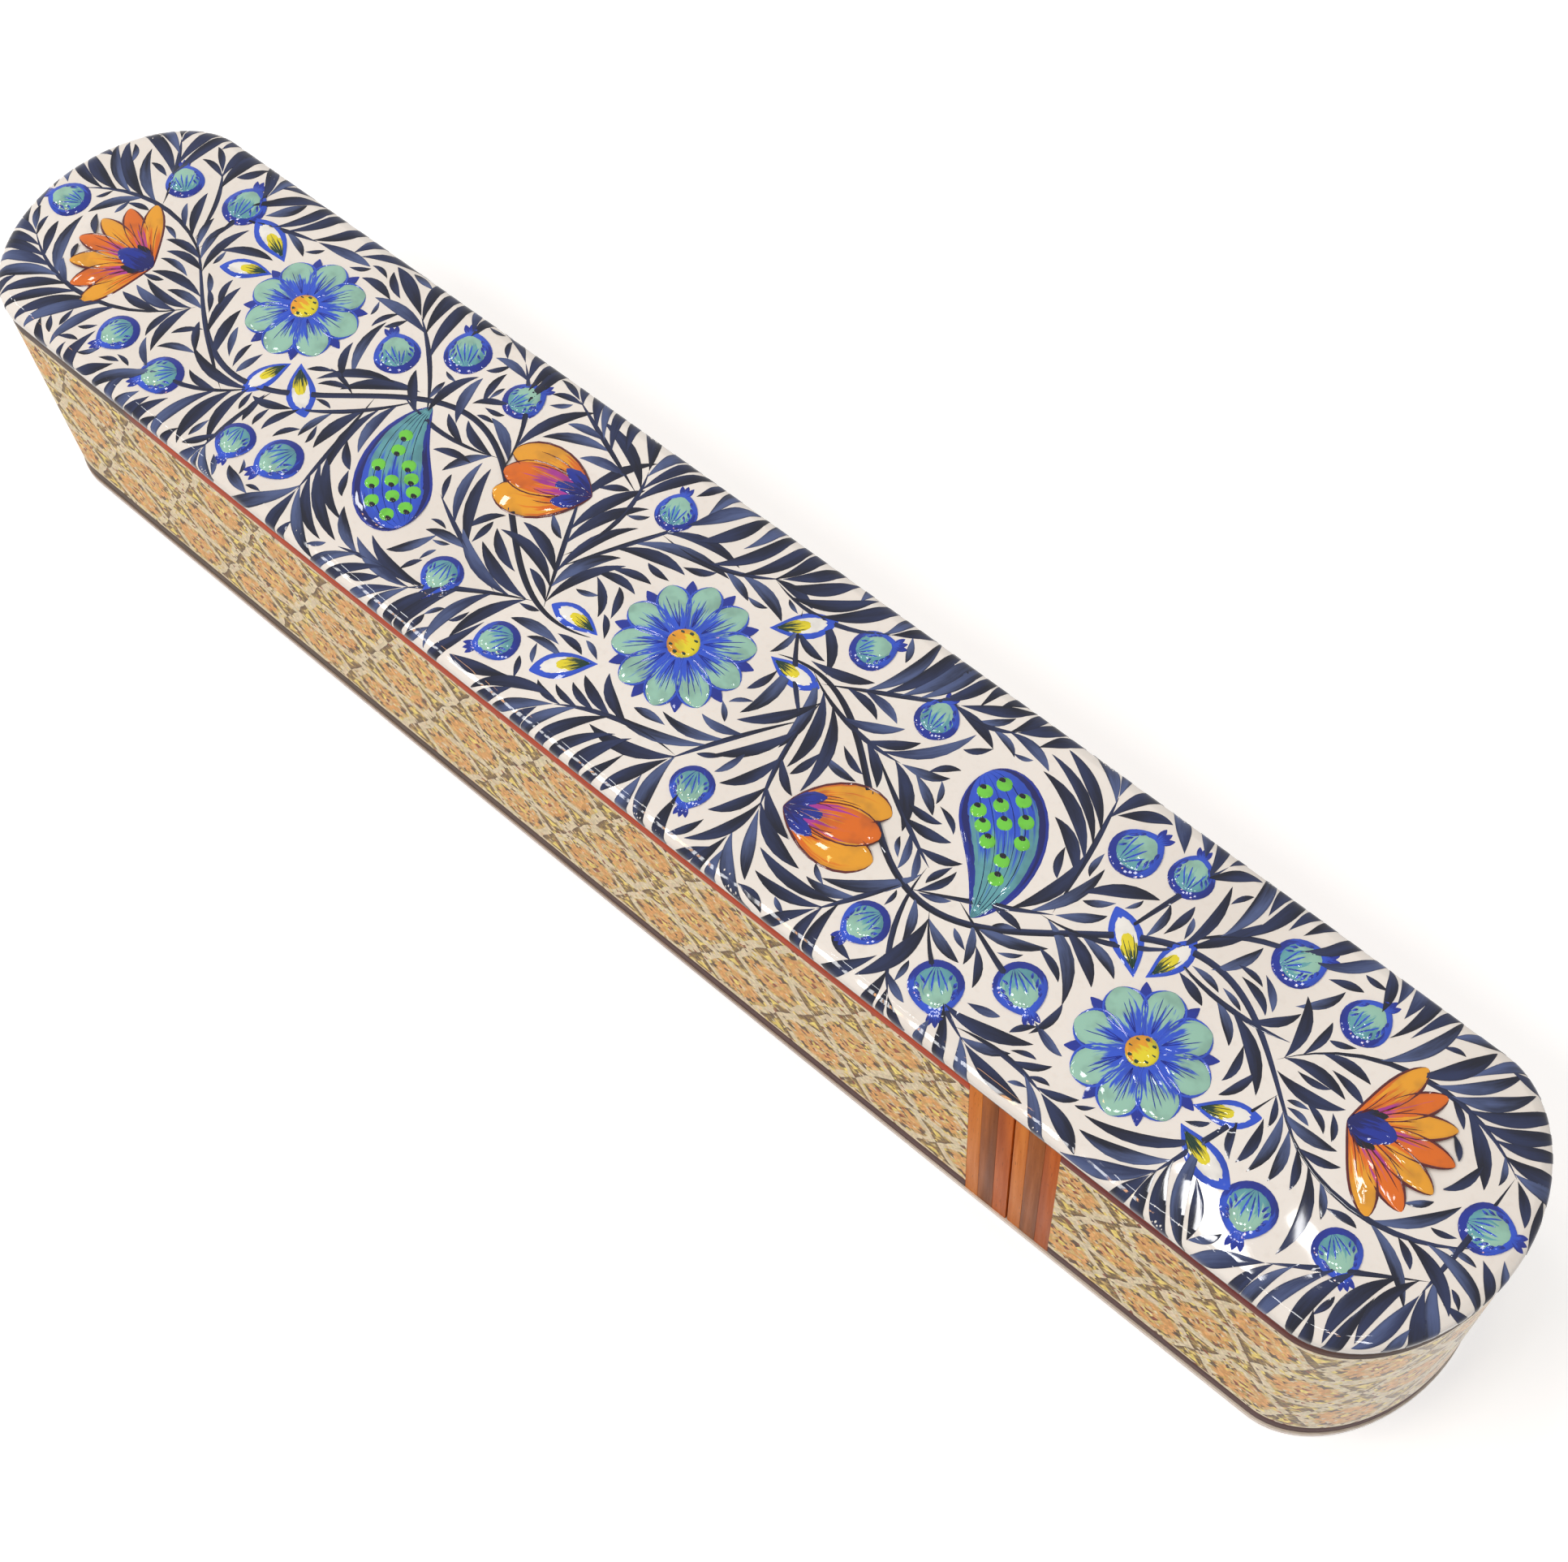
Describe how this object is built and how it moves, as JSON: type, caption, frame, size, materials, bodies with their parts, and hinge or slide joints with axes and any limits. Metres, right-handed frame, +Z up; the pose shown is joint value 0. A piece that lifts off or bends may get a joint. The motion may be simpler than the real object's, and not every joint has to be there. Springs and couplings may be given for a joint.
{
  "type": "pen case",
  "caption": "Long rounded wooden pen case veneered with star marquetry, with an ivory-toned painted top plate and a drawer that slides out of one end.",
  "frame": {"origin": "middle of the underside, on the surface that the case stands on", "axes": "+X along the case towards the drawer's front, +Y across it, +Z up"},
  "size_m": [0.249, 0.043, 0.041],
  "materials": {
    "ivory_plate": "ivory-toned plate painted in blue and covered with a thick clear gloss lacquer",
    "base_plate": "pale thin plate, satin lacquer",
    "board_wood": "plain planed wood",
    "wall_wood": "plain planed wood, hidden under the veneer",
    "marquetry": "micro-mosaic of wood, bone and brass under gloss lacquer",
    "red_line": "red-stained wood string under gloss lacquer",
    "dark_line": "dark grey-brown wood string under gloss lacquer",
    "amber_wood": "light orange wood strip, lacquered",
    "walnut_wood": "grey-brown wood strip, lacquered",
    "russet_wood": "red-brown wood strip, lacquered",
    "tray_wood": "plain varnished wood",
    "lining": "dark red velvet glued on the tray's floor"
  },
  "bodies": {
    "sheath": {"top_plate": "ivory_plate", "base_plate": "base_plate", "top_board": "board_wood", "base_board": "board_wood", "sheath_wall": "wall_wood", "sheath_marquetry": "marquetry", "sheath_upper_line": "red_line", "sheath_lower_line": "dark_line", "sheath_left_amber_strip": "amber_wood", "sheath_left_walnut_strip": "walnut_wood", "sheath_left_russet_strip": "russet_wood", "sheath_right_amber_strip": "amber_wood", "sheath_right_walnut_strip": "walnut_wood", "sheath_right_russet_strip": "russet_wood"},
    "drawer": {"drawer_front": "wall_wood", "drawer_marquetry": "marquetry", "drawer_upper_line": "red_line", "drawer_lower_line": "dark_line", "drawer_left_amber_strip": "amber_wood", "drawer_left_walnut_strip": "walnut_wood", "drawer_left_russet_strip": "russet_wood", "drawer_right_amber_strip": "amber_wood", "drawer_right_walnut_strip": "walnut_wood", "drawer_right_russet_strip": "russet_wood", "tray_floor": "tray_wood", "tray_left_side": "tray_wood", "tray_right_side": "tray_wood", "tray_back": "tray_wood", "tray_lining": "lining"}
  },
  "joints": [
    {"name": "drawer_slide", "type": "slide", "parent": "sheath", "child": "drawer", "axis": [1, 0, 0], "range_m": [0, 0.178]}
  ]
}
